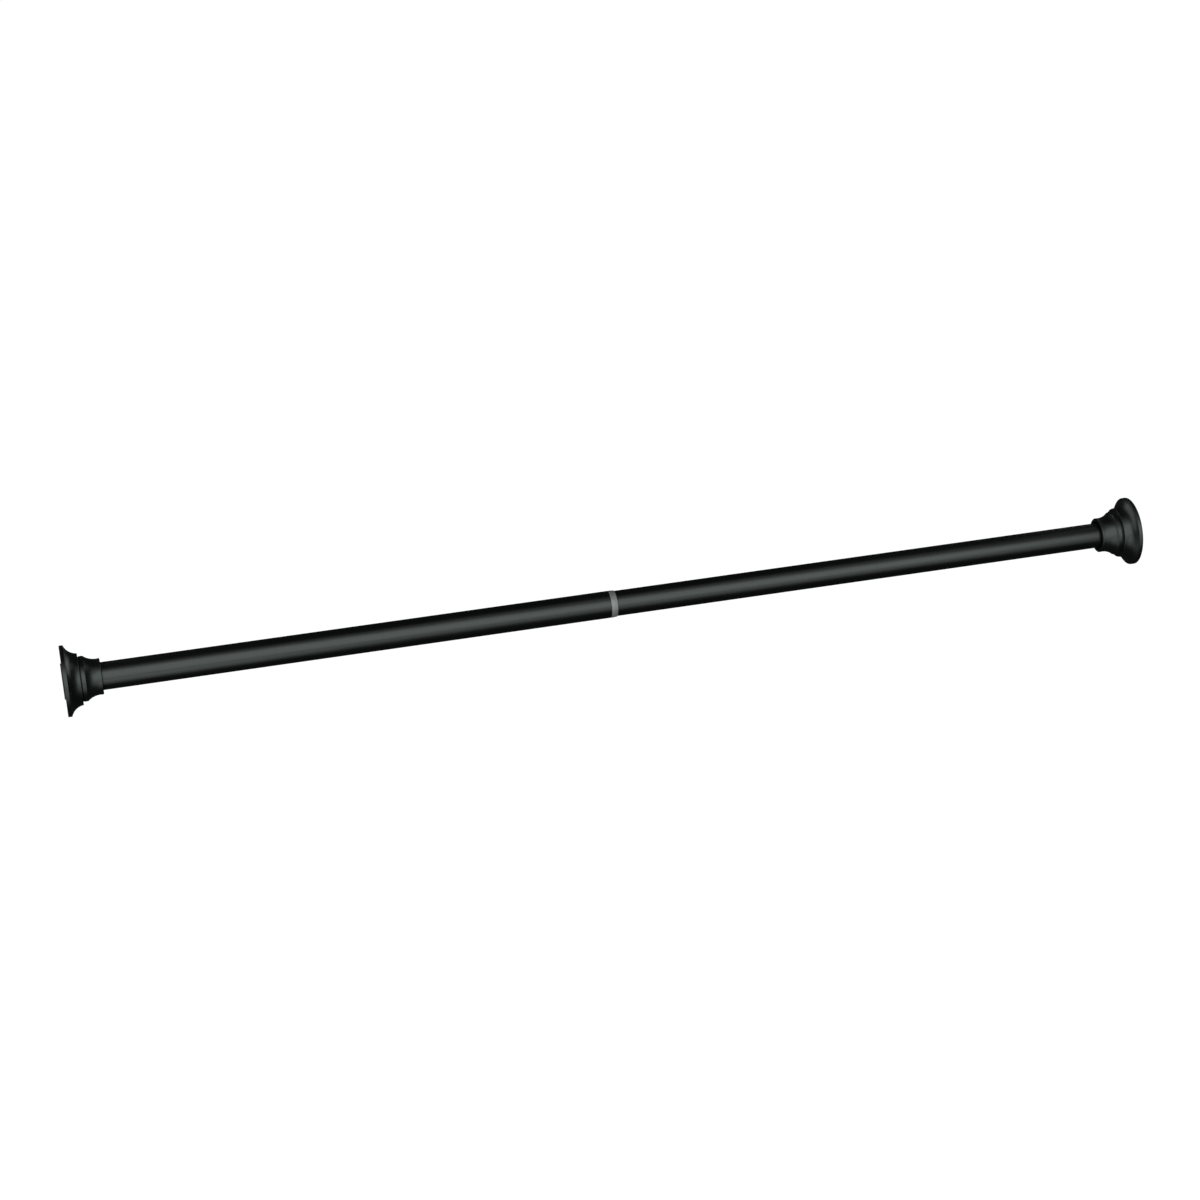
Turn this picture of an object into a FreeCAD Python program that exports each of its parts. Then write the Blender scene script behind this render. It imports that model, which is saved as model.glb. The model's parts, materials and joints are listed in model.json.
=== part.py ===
# Spring tension rod: two telescoping steel tubes that a spring wedges between facing walls.
# The row runs along +X from the left foot's wall face, which holds the origin, and +Z is up.
# Every length is in millimetres. Each piece is drawn along its own axis, from its own left end.
import FreeCAD
import Part
import Sketcher
import math
import os

V = FreeCAD.Vector

# How far a cut runs past the face that it starts from
SPARE = 1.0

# A regular hexagon's corner radius, for each unit across its flats
HEXAGON_CORNER = 1 / math.sqrt(3)

# Driving dimensions: name, value
DRIVING = [
    ("rod_length", 1027.0),
    ("outer_section_length", 510.5),
    ("tube_overlap", 71.4),
    # Outer tube and its mouth ring
    ("outer_tube_radius", 12.7),
    ("outer_tube_wall", 0.4),
    ("ring_face_width", 5.8),
    ("ring_band_width", 2.0),
    ("ring_nose_taper", 0.3),
    ("ring_skirt_length", 9.0),
    # Inner tube
    ("tube_play", 0.4),
    ("inner_tube_wall", 0.5),
    ("crimp_depth", 0.35),
    ("crimp_width", 2.0),
    # Clearances
    ("running_gap", 0.08),
    ("push_gap", 0.05),
    ("face_gap", 0.15),
    # Rubber foot
    ("pad_flare", 3.8),
    ("pad_thickness", 3.2),
    ("pad_edge", 0.7),
    ("pad_groove_width", 1.4),
    ("pad_groove_depth", 0.7),
    ("pad_groove_pitch", 3.6),
    ("pad_centre_radius", 3.4),
    ("pad_groove_count", 3),
    ("foot_skirt_wall", 1.5),
    ("foot_skirt_length", 12.0),
    # End plug
    ("plug_flange", 1.2),
    ("plug_barrel_length", 15.0),
    ("plug_wall", 1.8),
    ("plug_web", 1.6),
    ("plug_web_length", 10.5),
    ("plug_web_count", 4),
    ("plug_nose_chamfer", 0.6),
    # Cover
    ("cap_setback", 0.9),
    ("cap_length", 34.1),
    ("cap_rim_rise", 0.7),
    ("cap_rim_width", 3.7),
    ("cap_rim_edge", 0.5),
    ("cap_wall", 2.4),
    ("big_cove_rise", 8.1),
    ("big_cove_radius", 13.1),
    ("step_along", 15.1),
    ("step_rise", 2.95),
    ("step_edge", 0.9),
    ("step_foot", 0.9),
    ("band_rise", 4.15),
    ("band_width", 4.4),
    ("small_cove_radius", 17.5),
    ("collar_end_wall", 3.2),
    ("collar_edge", 0.7),
    ("collar_clearance", 0.6),
    ("collar_length", 12.0),
    ("collar_mouth_wall", 3.8),
    ("grip_groove_depth", 1.6),
    ("grip_groove_width", 5.0),
    ("grip_groove_setback", 3.4),
    ("rib_thickness", 1.6),
    ("cap_lip_depth", 1.6),
    ("rib_count", 8),
    ("grip_lip_width", 1.3),
    ("grip_waist_slope", 0.5),
    ("grip_waist_depth", 0.8),
    # Twist lock
    ("spring_travel", 25.0),
    ("glide_width", 8.0),
    ("glide_chamfer", 0.5),
    ("glide_slot", 3.0),
    ("glide_groove_depth", 0.8),
    ("glide_groove_width", 3.2),
    ("glide_groove_count", 6),
    ("glide_wall", 4.3),
    ("spindle_flange_lip", 1.6),
    ("spindle_flange_width", 1.8),
    ("cam_width", 10.0),
    ("cam_clearance", 0.6),
    ("cam_slot", 2.0),
    ("cam_groove_depth", 0.6),
    ("cam_groove_width", 1.2),
    ("cam_groove_count", 2),
    ("cam_edge", 0.6),
    ("cam_offset", 1.1),
    ("cam_pin_radius", 5.0),
    ("cam_washer_radius", 7.0),
    ("cam_washer_thickness", 1.0),
    ("screw_radius", 2.0),
    ("screw_length", 9.0),
    ("screw_head_radius", 3.9),
    ("screw_head_thickness", 2.6),
    ("screw_crown", 1.4),
    ("screw_point", 1.0),
    ("screw_recess_width", 1.0),
    ("screw_recess_length", 4.6),
    ("screw_recess_depth", 1.6),
    ("screw_recess_arms", 4),
    ("spindle_free_gap", 1.0),
    ("shaft_neck_radius", 4.6),
    ("hex_across_flats", 7.0),
    ("thread_radius", 3.0),
    ("thread_spare", 4.0),
    # Spring and what it bears on
    ("spring_washer_thickness", 4.0),
    ("spring_washer_setback", 2.0),
    ("spring_washer_boss", 2.7),
    ("spring_length", 52.0),
    ("spring_wire_radius", 0.9),
    ("spring_clearance", 1.1),
    ("spring_pitch", 5.2),
    ("seat_length", 9.0),
    ("stop_washer_radius", 8.0),
    ("stop_washer_thickness", 1.2),
    ("nut_across_flats", 10.0),
    ("nut_thickness", 5.0),
    ("nut_bevel", 0.5),
]


class Size:
    """A length: its value now, and the formula that the sheet works it out by."""

    def __init__(self, value, formula):
        self.value = float(value)
        self.formula = formula

    def joined(self, other, sign, value):
        return Size(value, f"({self.formula} {sign} {other.formula})")

    def __add__(self, other):
        other = as_size(other)
        return self.joined(other, "+", self.value + other.value)

    def __sub__(self, other):
        other = as_size(other)
        return self.joined(other, "-", self.value - other.value)

    def __mul__(self, number):
        number = as_size(number)
        return self.joined(number, "*", self.value * number.value)

    def __truediv__(self, number):
        number = as_size(number)
        return self.joined(number, "/", self.value / number.value)


def as_size(number):
    return number if isinstance(number, Size) else Size(number, f"{number}")


ZERO = as_size(0)


class Sizes:
    """The driving dimensions by name, each tied to its cell of the sheet, and the nested radii."""


def work_out_radii(sizes):
    """The radii that nest in each other, worked out from the outer tube inwards and outwards."""
    sizes.outer_bore = sizes.outer_tube_radius - sizes.outer_tube_wall
    sizes.inner_tube_radius = sizes.outer_bore - sizes.tube_play
    sizes.inner_bore = sizes.inner_tube_radius - sizes.inner_tube_wall
    sizes.journal_radius = sizes.outer_bore - sizes.glide_wall
    sizes.spindle_flange_radius = sizes.journal_radius + sizes.spindle_flange_lip
    sizes.cam_radius = sizes.outer_bore - sizes.cam_clearance
    sizes.spring_coil_radius = sizes.inner_bore - sizes.spring_wire_radius - sizes.spring_clearance
    sizes.pad_radius = sizes.outer_tube_radius + sizes.pad_flare
    sizes.collar_bore_radius = sizes.outer_tube_radius + sizes.collar_clearance
    sizes.grip_groove_radius = sizes.collar_bore_radius + sizes.grip_groove_depth
    sizes.collar_end_radius = sizes.collar_bore_radius + sizes.collar_end_wall
    sizes.band_radius = sizes.collar_end_radius + sizes.band_rise
    sizes.step_radius = sizes.band_radius + sizes.step_rise
    sizes.big_cove_start_radius = sizes.step_radius + sizes.big_cove_rise
    sizes.cap_rim_radius = sizes.big_cove_start_radius + sizes.cap_rim_rise


def write_sheet(doc):
    sheet = doc.addObject("Spreadsheet::Sheet", "Sizes")
    sizes = Sizes()
    for row, (name, value) in enumerate(DRIVING, start=1):
        sheet.set(f"A{row}", name.replace("_", " "))
        sheet.set(f"B{row}", f"{value}")
        sheet.setAlias(f"B{row}", name)
        setattr(sizes, name, Size(value, f"Sizes.{name}"))
    doc.recompute()
    work_out_radii(sizes)
    return sizes


# Drawing helpers


class Bend:
    """An outline's corner whose next edge is an arc, bulging to the left or right of its run."""

    def __init__(self, along, out, radius, side):
        self.along = along
        self.out = out
        self.radius = radius
        self.side = side


def new_body(doc, node):
    body = doc.addObject("PartDesign::Body", node)
    body.Label = node
    return body


def origin_part(body, role):
    return next(f for f in body.Origin.OriginFeatures if f.Role == role)


def new_sketch(body, name, plane, offset=None):
    """A sketch on one of the body's own planes, raised off it by the offset."""
    sketch = body.newObject("Sketcher::SketchObject", name)
    sketch.AttachmentSupport = (origin_part(body, plane), [""])
    sketch.MapMode = "FlatFace"
    if offset is not None:
        sketch.AttachmentOffset = FreeCAD.Placement(V(0, 0, offset.value), FreeCAD.Rotation())
        sketch.setExpression("AttachmentOffset.Base.z", offset.formula)
    return sketch


def bind(thing, field, size):
    """Set a property to a size and tie it to the sheet."""
    setattr(thing, field, size.value)
    thing.setExpression(field, size.formula)


def constrain(sketch, kind, places, size):
    index = sketch.addConstraint(Sketcher.Constraint(kind, *places, size.value))
    sketch.setExpression(f"Constraints[{index}]", size.formula)


def pin_point(sketch, edge, end, along, out):
    """Hold a point of the sketch at its distances from the sketch's two axes."""
    axes = ((along, "DistanceX", -2), (out, "DistanceY", -1))
    for size, kind, axis in axes:
        if size is None:
            continue
        if size.value == 0:
            sketch.addConstraint(Sketcher.Constraint("PointOnObject", edge, end, axis))
        else:
            constrain(sketch, kind, (-1, 1, edge, end), size)


def arc_middle(start, end, radius, side):
    """The middle of the arc from start to end that bulges to the side: 1 is left, -1 right."""
    chord = end - start
    half = chord.Length / 2
    rise = radius - math.sqrt(radius * radius - half * half)
    left = V(-chord.y, chord.x, 0).normalize()
    return (start + end) * 0.5 + left * (side * rise)


def draw_outline(sketch, corners):
    """A closed outline. Level and upright edges share one size, the rest have both of theirs."""
    corners = [c if isinstance(c, Bend) else Bend(as_size(c[0]), as_size(c[1]), None, 0) for c in corners]
    spots = [V(c.along.value, c.out.value, 0) for c in corners]
    ends = []
    for corner, spot, after in zip(corners, spots, spots[1:] + spots[:1]):
        if corner.radius is None:
            edge = sketch.addGeometry(Part.LineSegment(spot, after))
            ends.append((edge, 1, 2))
            continue
        middle = arc_middle(spot, after, corner.radius.value, corner.side)
        if corner.side < 0:
            edge = sketch.addGeometry(Part.Arc(spot, middle, after))
            ends.append((edge, 1, 2))
        else:
            edge = sketch.addGeometry(Part.Arc(after, middle, spot))
            ends.append((edge, 2, 1))
    for (edge, _, last), (after, first, _) in zip(ends, ends[1:] + ends[:1]):
        sketch.addConstraint(Sketcher.Constraint("Coincident", edge, last, after, first))
    before = None
    for corner, (edge, first, _) in zip(corners, ends):
        along, out = corner.along, corner.out
        straight = before is not None and before[0].radius is None
        if straight and before[0].along.formula == along.formula:
            sketch.addConstraint(Sketcher.Constraint("Vertical", before[1]))
            along = None
        elif straight and before[0].out.formula == out.formula:
            sketch.addConstraint(Sketcher.Constraint("Horizontal", before[1]))
            out = None
        pin_point(sketch, edge, first, along, out)
        if corner.radius is not None:
            constrain(sketch, "Radius", (edge,), corner.radius)
        before = (corner, edge)


def draw_circle(sketch, radius, out=None):
    """A circle about the sketch's centre, or raised from it by a size."""
    height = 0 if out is None else out.value
    edge = sketch.addGeometry(Part.Circle(V(0, height, 0), V(0, 0, 1), radius.value))
    pin_point(sketch, edge, 3, ZERO, ZERO if out is None else out)
    constrain(sketch, "Radius", (edge,), radius)


def draw_hexagon(sketch, across_flats):
    """A regular hexagon about the sketch's centre, two of its flats upright."""
    corner = across_flats * HEXAGON_CORNER
    half = across_flats / 2
    corners = [
        (half, corner / 2),
        (ZERO, corner),
        (half * -1, corner / 2),
        (half * -1, corner / -2),
        (ZERO, corner * -1),
        (half, corner / -2),
    ]
    draw_outline(sketch, corners)


def turned(body, name, corners, cut=False):
    """Turn an outline of (along, radius) corners about the piece's axis."""
    sketch = new_sketch(body, f"{name}_outline", "XY_Plane")
    draw_outline(sketch, corners)
    kind = "PartDesign::Groove" if cut else "PartDesign::Revolution"
    feature = body.newObject(kind, name)
    feature.Profile = sketch
    feature.ReferenceAxis = (sketch, ["H_Axis"])
    feature.Angle = 360
    return feature


def raised(body, name, sketch, length, cut=False):
    """Pad or pocket a sketch that lies across the piece's axis, towards its right end."""
    feature = body.newObject("PartDesign::Pocket" if cut else "PartDesign::Pad", name)
    feature.Profile = sketch
    bind(feature, "Length", length)
    if cut:
        feature.Reversed = True
    return feature


def repeated(body, name, feature, count):
    """Repeat a feature round the piece's axis."""
    pattern = body.newObject("PartDesign::PolarPattern", name)
    pattern.Originals = [feature]
    pattern.Axis = (origin_part(body, "X_Axis"), [""])
    pattern.Angle = 360
    pattern.Occurrences = int(count.value)
    pattern.setExpression("Occurrences", count.formula)
    body.Tip = pattern
    return pattern


def slot_across(body, name, width, depth, low, high):
    """Cut a slot into the piece's left face, from one height above its axis to another."""
    sketch = new_sketch(body, f"{name}_outline", "YZ_Plane", ZERO - SPARE)
    half = width / 2
    draw_outline(sketch, [(half * -1, low), (half, low), (half, high), (half * -1, high)])
    return raised(body, name, sketch, depth + SPARE, cut=True)


def place(body, along, flipped=False, height=None):
    """Set a piece's left end along the rod. A flipped piece points back to the left."""
    turn = FreeCAD.Rotation(V(0, 0, 1), 180 if flipped else 0)
    body.Placement = FreeCAD.Placement(V(along.value, 0, 0), turn)
    body.setExpression("Placement.Base.x", along.formula)
    if height is not None:
        body.setExpression("Placement.Base.z", height.formula)


# The pieces


def make_tube(doc, node, radius, wall, length, crimp=None):
    """A drawn tube, with a rolled crimp where it holds a bush inside."""
    body = new_body(doc, node)
    bore = radius - wall
    corners = [(ZERO, bore), (ZERO, radius)]
    if crimp is not None:
        middle, depth, width = crimp
        corners += [(middle - width, radius), (middle - width / 2, radius - depth)]
        corners += [(middle + width / 2, radius - depth), (middle + width, radius)]
    corners += [(length, radius), (length, bore)]
    if crimp is not None:
        corners += [(middle + width, bore), (middle + width / 2, bore - depth)]
        corners += [(middle - width / 2, bore - depth), (middle - width, bore)]
    turned(body, "tube", corners)
    return body


def make_trim_ring(doc, sizes):
    """The grey ring: a tapering nose outside, and a thin skirt that guides the inner tube."""
    body = new_body(doc, "trim_ring")
    bore = sizes.inner_tube_radius + sizes.running_gap
    skirt = sizes.outer_bore - sizes.push_gap
    shoulder = sizes.ring_skirt_length
    nose = shoulder + sizes.ring_face_width
    corners = [(ZERO, bore), (ZERO, skirt), (shoulder, skirt), (shoulder, sizes.outer_tube_radius)]
    corners += [(shoulder + sizes.ring_band_width, sizes.outer_tube_radius)]
    corners += [(nose, sizes.outer_tube_radius - sizes.ring_nose_taper), (nose, bore)]
    turned(body, "ring", corners)
    return body


def make_foot(doc, node, sizes, tube_radius):
    """A rubber foot: a ringed pad against the wall, and a skirt pushed over the tube's end."""
    body = new_body(doc, node)
    pad = sizes.pad_thickness
    edge = sizes.pad_edge
    skirt_in = tube_radius + sizes.push_gap
    skirt_out = skirt_in + sizes.foot_skirt_wall
    end = pad + sizes.foot_skirt_length
    corners = [(ZERO, ZERO), (pad, ZERO), (pad, skirt_in), (end, skirt_in), (end, skirt_out)]
    corners += [(pad, skirt_out), (pad, sizes.pad_radius - edge)]
    corners += [(pad - edge, sizes.pad_radius), Bend(edge, sizes.pad_radius, edge, -1)]
    corners += [(ZERO, sizes.pad_radius - edge)]
    turned(body, "foot", corners)
    for count in range(int(sizes.pad_groove_count.value)):
        inside = sizes.pad_centre_radius + sizes.pad_groove_pitch * count
        outside = inside + sizes.pad_groove_width
        middle = inside + sizes.pad_groove_width / 2
        groove = [(ZERO, inside), (sizes.pad_groove_depth, middle), (ZERO, outside)]
        turned(body, f"wall_groove_{count + 1}", groove, cut=True)
    return body


def make_end_plug(doc, node, sizes, tube_radius, tube_bore):
    """A moulded plug: a flange on the tube's end, and a hollow barrel with a cross of webs."""
    body = new_body(doc, node)
    barrel = tube_bore - sizes.push_gap
    hollow = barrel - sizes.plug_wall
    floor = sizes.plug_flange + sizes.plug_wall
    end = sizes.plug_flange + sizes.plug_barrel_length
    chamfer = sizes.plug_nose_chamfer
    corners = [(ZERO, ZERO), (ZERO, tube_radius), (sizes.plug_flange, tube_radius)]
    corners += [(sizes.plug_flange, barrel), (end - chamfer, barrel), (end, barrel - chamfer)]
    corners += [(end, hollow), (floor, hollow), (floor, ZERO)]
    turned(body, "plug", corners)
    sketch = new_sketch(body, "web_outline", "YZ_Plane", floor)
    reach = hollow + sizes.plug_wall / 2
    half = sizes.plug_web / 2
    draw_outline(sketch, [(half * -1, ZERO), (half, ZERO), (half, reach), (half * -1, reach)])
    web = raised(body, "web", sketch, sizes.plug_web_length)
    repeated(body, "webs", web, sizes.plug_web_count)
    return body


def cap_outline(sizes):
    """The cover's section: its rim, big cove, step, band and small cove, and the cavity behind them."""
    wall = sizes.cap_wall
    rim = sizes.cap_rim_radius
    edge = sizes.cap_rim_edge
    step = sizes.step_along
    band_end = step + sizes.band_width
    end = sizes.cap_length
    bore = sizes.collar_bore_radius
    groove_end = end - sizes.grip_groove_setback
    groove_start = groove_end - sizes.grip_groove_width
    sleeve = end - sizes.collar_length
    inner_rim = rim - wall
    corners = [Bend(ZERO, rim - edge, edge, 1), (edge, rim)]
    corners += [Bend(sizes.cap_rim_width - edge, rim, edge, 1)]
    corners += [(sizes.cap_rim_width, rim - edge)]
    cove_start = sizes.cap_rim_width + edge / 2
    corners += [Bend(cove_start, sizes.big_cove_start_radius, sizes.big_cove_radius, -1)]
    corners += [Bend(step - sizes.step_edge, sizes.step_radius, sizes.step_edge, 1)]
    corners += [(step, sizes.step_radius - sizes.step_edge)]
    corners += [Bend(step, sizes.band_radius + sizes.step_foot, sizes.step_foot, -1)]
    corners += [(step + sizes.step_foot, sizes.band_radius)]
    corners += [Bend(band_end, sizes.band_radius, sizes.small_cove_radius, -1)]
    corners += [Bend(end - sizes.collar_edge, sizes.collar_end_radius, sizes.collar_edge, 1)]
    corners += [(end, sizes.collar_end_radius - sizes.collar_edge), (end, bore)]
    corners += [(groove_end, bore), (groove_end, sizes.grip_groove_radius)]
    corners += [(groove_start, sizes.grip_groove_radius), (groove_start, bore), (sleeve, bore)]
    corners += [(sleeve, bore + sizes.collar_mouth_wall), (band_end - wall, sizes.band_radius - wall)]
    corners += [(step - wall, sizes.band_radius - wall)]
    corners += [Bend(step - wall, sizes.step_radius - wall, sizes.big_cove_radius + wall, 1)]
    corners += [(sizes.cap_lip_depth, inner_rim), (ZERO, inner_rim)]
    return corners


def make_cap(doc, node, sizes):
    """The moulded cover, hollow towards the wall, with ribs across its cavity."""
    body = new_body(doc, node)
    turned(body, "shell", cap_outline(sizes))
    wall = sizes.cap_wall
    inside = sizes.band_radius - wall
    deep = sizes.step_along - wall / 2
    sketch = new_sketch(body, "rib_outline", "XY_Plane")
    corners = [(sizes.cap_lip_depth, inside), (sizes.cap_lip_depth, sizes.cap_rim_radius - wall / 2)]
    start_radius = sizes.big_cove_start_radius - wall / 2
    corners += [Bend(sizes.cap_rim_width, start_radius, sizes.big_cove_radius + wall / 2, -1)]
    corners += [(deep, sizes.step_radius - wall / 2), (deep, inside)]
    draw_outline(sketch, corners)
    rib = body.newObject("PartDesign::Pad", "rib")
    rib.Profile = sketch
    rib.Midplane = True
    bind(rib, "Length", sizes.rib_thickness)
    repeated(body, "ribs", rib, sizes.rib_count)
    return body


def make_grip_ring(doc, node, sizes, tube_radius):
    """A rubber ring that fills the collar's groove and grips the tube on two lips."""
    body = new_body(doc, node)
    width = sizes.grip_groove_width - sizes.face_gap * 2
    outside = sizes.grip_groove_radius - sizes.running_gap
    inside = tube_radius + sizes.running_gap
    waist = inside + sizes.grip_waist_depth
    lip = sizes.grip_lip_width
    slope = sizes.grip_lip_width + sizes.grip_waist_slope
    corners = [(ZERO, inside), (ZERO, outside), (width, outside), (width, inside)]
    corners += [(width - lip, inside), (width - slope, waist), (slope, waist), (lip, inside)]
    turned(body, "ring", corners)
    return body


def make_glide_ring(doc, sizes):
    """The split nylon ring that slides in the outer tube, grooved along its outside."""
    body = new_body(doc, "glide_ring")
    outside = sizes.outer_bore - sizes.running_gap
    inside = sizes.journal_radius + sizes.running_gap
    width = sizes.glide_width
    chamfer = sizes.glide_chamfer
    corners = [(ZERO, inside), (ZERO, outside - chamfer), (chamfer, outside), (width - chamfer, outside)]
    corners += [(width, outside - chamfer), (width, inside)]
    turned(body, "ring", corners)
    floor = outside - sizes.glide_groove_depth
    past = outside + SPARE
    through = width + SPARE
    groove = slot_across(body, "side_groove", sizes.glide_groove_width, through, floor * -1, past * -1)
    repeated(body, "side_grooves", groove, sizes.glide_groove_count)
    slot_across(body, "split", sizes.glide_slot, through, inside - SPARE, past)
    return body


def make_lock_cam(doc, sizes):
    """The eccentric: a split disc, bored off its centre, with two grooves round its rim."""
    body = new_body(doc, "lock_cam")
    width = sizes.cam_width
    edge = sizes.cam_edge
    radius = sizes.cam_radius
    corners = [(ZERO, ZERO), (ZERO, radius - edge), (edge, radius), (width - edge, radius)]
    corners += [(width, radius - edge), (width, ZERO)]
    turned(body, "disc", corners)
    grooves = sizes.cam_groove_count
    for count in range(int(grooves.value)):
        middle = width * (count + 1) / (grooves + 1)
        half = sizes.cam_groove_width / 2
        deep = radius - sizes.cam_groove_depth
        past = radius + SPARE
        groove = [(middle - half, past), (middle - half, deep)]
        groove += [(middle + half, deep), (middle + half, past)]
        turned(body, f"rim_groove_{count + 1}", groove, cut=True)
    sketch = new_sketch(body, "pin_hole_outline", "YZ_Plane", ZERO - SPARE)
    draw_circle(sketch, sizes.cam_pin_radius + sizes.running_gap, sizes.cam_offset)
    raised(body, "pin_hole", sketch, width + SPARE * 2, cut=True)
    slot_across(body, "split", sizes.cam_slot, width + SPARE, sizes.cam_offset, radius + SPARE)
    return body


def make_lock_spindle(doc, sizes, neck, hexagon):
    """The lock's shaft: off-centre pin, journal between two flanges, neck, hexagon and thread."""
    body = new_body(doc, "lock_spindle")
    flange = sizes.spindle_flange_radius
    first = sizes.spindle_flange_width
    second = first + sizes.glide_width + sizes.face_gap * 2
    shaft = second + sizes.spindle_flange_width
    hex_start = shaft + neck
    corners = [(ZERO, ZERO), (ZERO, flange), (first, flange), (first, sizes.journal_radius)]
    corners += [(second, sizes.journal_radius), (second, flange), (shaft, flange)]
    corners += [(shaft, sizes.shaft_neck_radius), (hex_start, sizes.shaft_neck_radius), (hex_start, ZERO)]
    turned(body, "journal", corners)
    pin = new_sketch(body, "pin_outline", "YZ_Plane")
    draw_circle(pin, sizes.cam_pin_radius, sizes.cam_offset)
    pin_pad = raised(body, "pin", pin, sizes.cam_width + sizes.face_gap * 2)
    pin_pad.Reversed = True
    hex_sketch = new_sketch(body, "hexagon_outline", "YZ_Plane", hex_start)
    draw_hexagon(hex_sketch, sizes.hex_across_flats)
    raised(body, "hexagon", hex_sketch, hexagon)
    thread = sizes.stop_washer_thickness + sizes.nut_thickness + sizes.thread_spare
    thread_sketch = new_sketch(body, "thread_outline", "YZ_Plane", hex_start + hexagon)
    draw_circle(thread_sketch, sizes.thread_radius)
    raised(body, "thread", thread_sketch, thread)
    pin_end = (sizes.cam_width + sizes.face_gap * 2) * -1
    hole = new_sketch(body, "screw_hole_outline", "YZ_Plane", pin_end)
    draw_circle(hole, sizes.screw_radius + sizes.push_gap, sizes.cam_offset)
    raised(body, "screw_hole", hole, sizes.screw_length, cut=True)
    return body


def make_washer(doc, node, radius, hole, thickness):
    body = new_body(doc, node)
    turned(body, "washer", [(ZERO, hole), (ZERO, radius), (thickness, radius), (thickness, hole)])
    return body


def make_cam_screw(doc, sizes):
    """A pan-head screw with a crossed recess, its head to the left."""
    body = new_body(doc, "cam_screw")
    head = sizes.screw_head_thickness
    crown = sizes.screw_crown
    point = sizes.screw_point
    end = head + sizes.screw_length
    corners = [(ZERO, ZERO), Bend(ZERO, sizes.screw_head_radius - crown, crown, 1)]
    corners += [(crown, sizes.screw_head_radius), (head, sizes.screw_head_radius)]
    corners += [(head, sizes.screw_radius), (end - point, sizes.screw_radius)]
    corners += [(end, sizes.screw_radius - point), (end, ZERO)]
    turned(body, "screw", corners)
    half = sizes.screw_recess_length / 2
    arm = slot_across(body, "recess_arm", sizes.screw_recess_width, sizes.screw_recess_depth, ZERO, half)
    repeated(body, "recess", arm, sizes.screw_recess_arms)
    return body


def make_spring_washer(doc, sizes):
    """The nylon disc under the spring: guided by the inner tube, with a boss inside the coils."""
    body = new_body(doc, "spring_washer")
    disc = sizes.spring_washer_thickness
    boss = disc + sizes.spring_washer_boss
    boss_radius = sizes.spring_coil_radius - sizes.spring_wire_radius - sizes.face_gap
    rim = sizes.inner_bore - sizes.running_gap * 2
    corners = [(ZERO, ZERO), (ZERO, rim), (disc, rim), (disc, boss_radius)]
    corners += [(boss, boss_radius), (boss, ZERO)]
    turned(body, "disc", corners)
    sketch = new_sketch(body, "hole_outline", "YZ_Plane", ZERO - SPARE)
    draw_hexagon(sketch, sizes.hex_across_flats + sizes.push_gap * 2)
    raised(body, "hole", sketch, boss + SPARE * 2, cut=True)
    return body


def make_spring_seat(doc, sizes):
    """The bush crimped in the inner tube: a groove for the crimp and a hexagon hole."""
    body = new_body(doc, "spring_seat")
    outside = sizes.inner_bore - sizes.push_gap
    end = sizes.seat_length
    middle = end / 2
    deep = outside - sizes.crimp_depth
    width = sizes.crimp_width
    corners = [(ZERO, ZERO), (ZERO, outside), (middle - width, outside), (middle - width / 2, deep)]
    corners += [(middle + width / 2, deep), (middle + width, outside), (end, outside), (end, ZERO)]
    turned(body, "bush", corners)
    sketch = new_sketch(body, "hole_outline", "YZ_Plane", ZERO - SPARE)
    draw_hexagon(sketch, sizes.hex_across_flats + sizes.running_gap * 2)
    raised(body, "hole", sketch, end + SPARE * 2, cut=True)
    return body


def make_stop_nut(doc, sizes):
    """A hexagon nut, its corners turned off at both faces."""
    body = new_body(doc, "stop_nut")
    sketch = new_sketch(body, "nut_outline", "YZ_Plane")
    draw_hexagon(sketch, sizes.nut_across_flats)
    raised(body, "nut", sketch, sizes.nut_thickness)
    flat = sizes.nut_across_flats / 2
    past = sizes.nut_across_flats * HEXAGON_CORNER + SPARE
    end = sizes.nut_thickness
    for name, face, outwards in (("left_bevel", ZERO, -1), ("right_bevel", end, 1)):
        clear = face + SPARE * outwards
        inwards = face - sizes.nut_bevel * outwards
        turned(body, name, [(clear, flat), (face, flat), (inwards, past), (clear, past)], cut=True)
    hole = new_sketch(body, "hole_outline", "YZ_Plane", ZERO - SPARE)
    draw_circle(hole, sizes.thread_radius + sizes.push_gap)
    raised(body, "hole", hole, end + SPARE * 2, cut=True)
    return body


def make_spring(doc, sizes):
    """The compression spring: one helix of round wire, ground flat at both ends."""
    body = new_body(doc, "tension_spring")
    wire = sizes.spring_wire_radius
    length = sizes.spring_length - sizes.face_gap * 2
    sketch = new_sketch(body, "wire_outline", "XY_Plane")
    draw_circle(sketch, wire, sizes.spring_coil_radius)
    coil = body.newObject("PartDesign::AdditiveHelix", "coil")
    coil.Profile = sketch
    coil.ReferenceAxis = (sketch, ["H_Axis"])
    coil.Mode = 0
    bind(coil, "Pitch", sizes.spring_pitch)
    bind(coil, "Height", length)
    outside = sizes.spring_coil_radius + wire + SPARE
    past = wire + SPARE
    for name, low, high in (("left_grind", ZERO - past, ZERO), ("right_grind", length, length + past)):
        turned(body, name, [(low, ZERO), (high, ZERO), (high, outside), (low, outside)], cut=True)
    return body


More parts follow.
